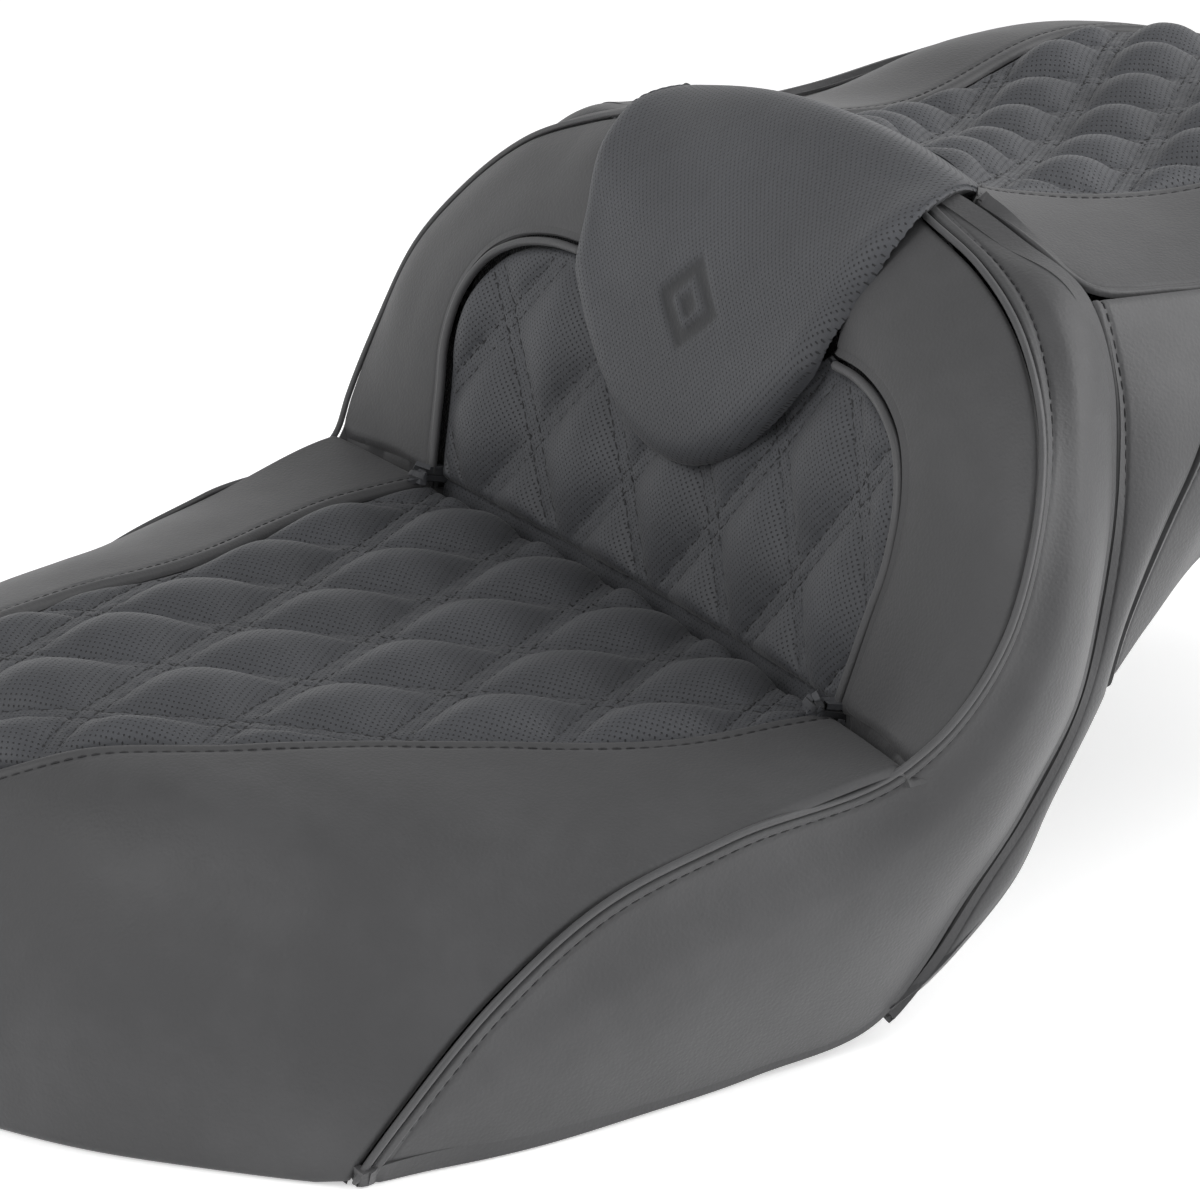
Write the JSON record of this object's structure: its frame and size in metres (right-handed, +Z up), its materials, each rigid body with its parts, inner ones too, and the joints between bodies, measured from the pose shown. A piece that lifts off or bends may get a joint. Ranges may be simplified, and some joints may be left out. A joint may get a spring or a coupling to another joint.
{
  "type": "motorcycle seat",
  "caption": "Two-up touring motorcycle seat: dished rider seat, backrest wall with raised centre panel, stepped passenger seat, quilted inlays, piping, pan, feet and fixings.",
  "frame": {"origin": "centre of the bounding box's bottom face: on the floor plane under the middle of the seat", "axes": "+X to the rider's left, -Y to the front of the motorcycle, +Z up"},
  "size_m": [0.4602, 0.7779, 0.2905],
  "materials": {
    "plain_vinyl": "matt black vinyl with a fine grain",
    "quilted_vinyl": "matt, finely perforated vinyl, stitched in diamonds",
    "piping_vinyl": "satin vinyl cord",
    "foam": "moulded polyurethane foam",
    "pan_plastic": "moulded black plastic",
    "rubber": "matt black rubber",
    "black_steel": "black powder coat",
    "bright_steel": "zinc-plated steel"
  },
  "bodies": {
    "seat": {"rider_top_panel": "plain_vinyl", "pillion_top_panel": "plain_vinyl", "tail_panel": "plain_vinyl", "backrest_bolster_left": "plain_vinyl", "backrest_bolster_right": "plain_vinyl", "rider_side_panel_left": "plain_vinyl", "rider_side_panel_right": "plain_vinyl", "middle_side_panel_left": "plain_vinyl", "middle_side_panel_right": "plain_vinyl", "pillion_side_panel_left": "plain_vinyl", "pillion_side_panel_right": "plain_vinyl", "rider_quilt_panel": "quilted_vinyl", "backrest_quilt_panel": "quilted_vinyl", "pillion_quilt_panel": "quilted_vinyl", "backrest_tongue_panel": "quilted_vinyl", "main_seam_piping_left": "piping_vinyl", "main_seam_piping_right": "piping_vinyl", "wing_piping_left": "piping_vinyl", "wing_piping_right": "piping_vinyl", "rider_foam": "foam", "backrest_foam": "foam", "pillion_foam": "foam", "backrest_tongue_pad": "foam", "base_pan": "pan_plastic", "front_foot_left": "rubber", "front_foot_right": "rubber", "middle_foot_left": "rubber", "middle_foot_right": "rubber", "rear_foot_left": "rubber", "rear_foot_right": "rubber", "front_hook_plate": "black_steel", "rear_tab": "black_steel", "hook_rivet_left": "bright_steel", "hook_rivet_right": "bright_steel", "tab_rivet_left": "bright_steel", "tab_rivet_right": "bright_steel"},
    "screw": {"thumb_screw": "bright_steel", "retaining_washer": "bright_steel"}
  },
  "joints": [
    {"name": "thumb_screw_turn", "type": "hinge", "parent": "seat", "child": "screw", "pos_m": [0, 0.375, 0.163], "axis": [0, 0, 1], "continuous": true}
  ]
}
